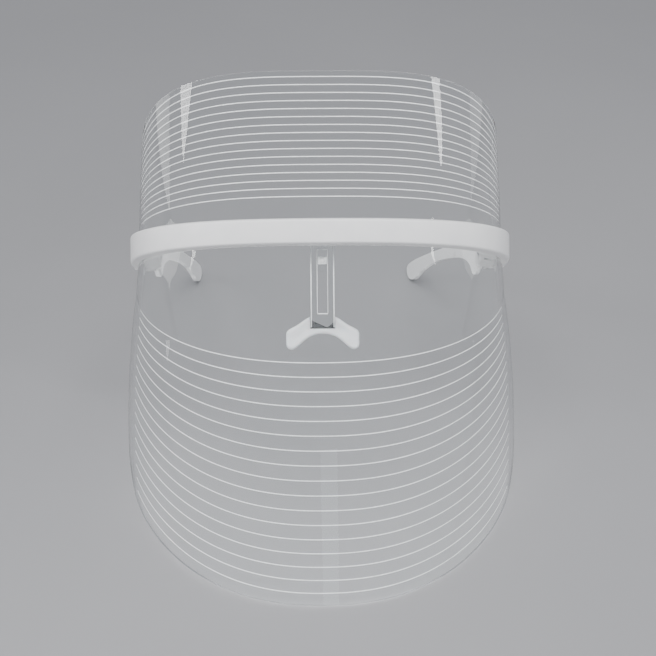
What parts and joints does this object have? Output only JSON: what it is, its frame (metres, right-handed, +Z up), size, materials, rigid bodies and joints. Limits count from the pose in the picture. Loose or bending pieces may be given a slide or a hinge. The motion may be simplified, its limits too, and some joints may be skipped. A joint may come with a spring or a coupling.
{
  "type": "led face mask",
  "caption": "Clear curved face shield with etched light lines, held by a white LED brow band with folding temples and a nose pad.",
  "frame": {"origin": "middle of the footprint, on the surface that the chin edge and both temple tips rest on", "axes": "+Z is up, +Y is the way both temples point, and +X is to the right as seen from the front; the mask leans back, so its front faces -Y and up"},
  "size_m": [0.1874, 0.2448, 0.1804],
  "materials": {
    "white_shell": "satin moulded",
    "clear_acrylic": "polished, clear, with fine frosted lines",
    "white_silicone": "matte",
    "steel": "plain",
    "led_board": "white solder mask",
    "circuit_board": "solder mask",
    "battery_foil": "foil pouch",
    "dark_plastic": "moulded"
  },
  "bodies": {
    "root": {"band_front_cover": "white_shell", "band_rear_cover": "white_shell", "upper_light_plate": "clear_acrylic", "lower_light_plate": "clear_acrylic", "upper_led_strip": "led_board", "lower_led_strip": "led_board", "light_divider": "white_shell", "battery": "battery_foil", "battery_lead": "dark_plastic", "control_board": "circuit_board", "button_switch": "dark_plastic", "charging_socket": "steel", "clip_arm": "clear_acrylic", "clip_arm_screw": "steel", "nose_clip": "white_shell", "left_end_cap": "white_shell", "left_cover_screw": "steel", "left_hinge_pin": "steel", "left_hinge_washer": "dark_plastic", "right_end_cap": "white_shell", "right_cover_screw": "steel", "right_hinge_pin": "steel", "right_hinge_washer": "dark_plastic"},
    "left_temple": {"left_temple": "white_shell"},
    "right_temple": {"right_temple": "white_shell"},
    "nose_piece": {"nose_bracket": "clear_acrylic", "nose_pad": "white_silicone"},
    "power_button": {"power_button": "white_silicone"}
  },
  "joints": [
    {"name": "left_temple_fold", "type": "hinge", "parent": "root", "child": "left_temple", "pos_m": [-0.08566, 0.03831, 0.07185], "axis": [-0.0125, -0.6187, -0.7855], "range_deg": [-7.5, 82.5]},
    {"name": "right_temple_fold", "type": "hinge", "parent": "root", "child": "right_temple", "pos_m": [0.08712, 0.03833, 0.06908], "axis": [0.0125, 0.6187, 0.7855], "range_deg": [-16.6, 63.4]},
    {"name": "nose_bracket_slide", "type": "slide", "parent": "root", "child": "nose_piece", "axis": [0.0125, 0.6187, 0.7855], "range_m": [-0.0026, 0.017]},
    {"name": "power_button_press", "type": "slide", "parent": "root", "child": "power_button", "axis": [-0.0125, -0.6187, -0.7855], "range_m": [0, 0.0004], "stiffness_N_per_m": 600, "springref_m": -0.0005}
  ]
}
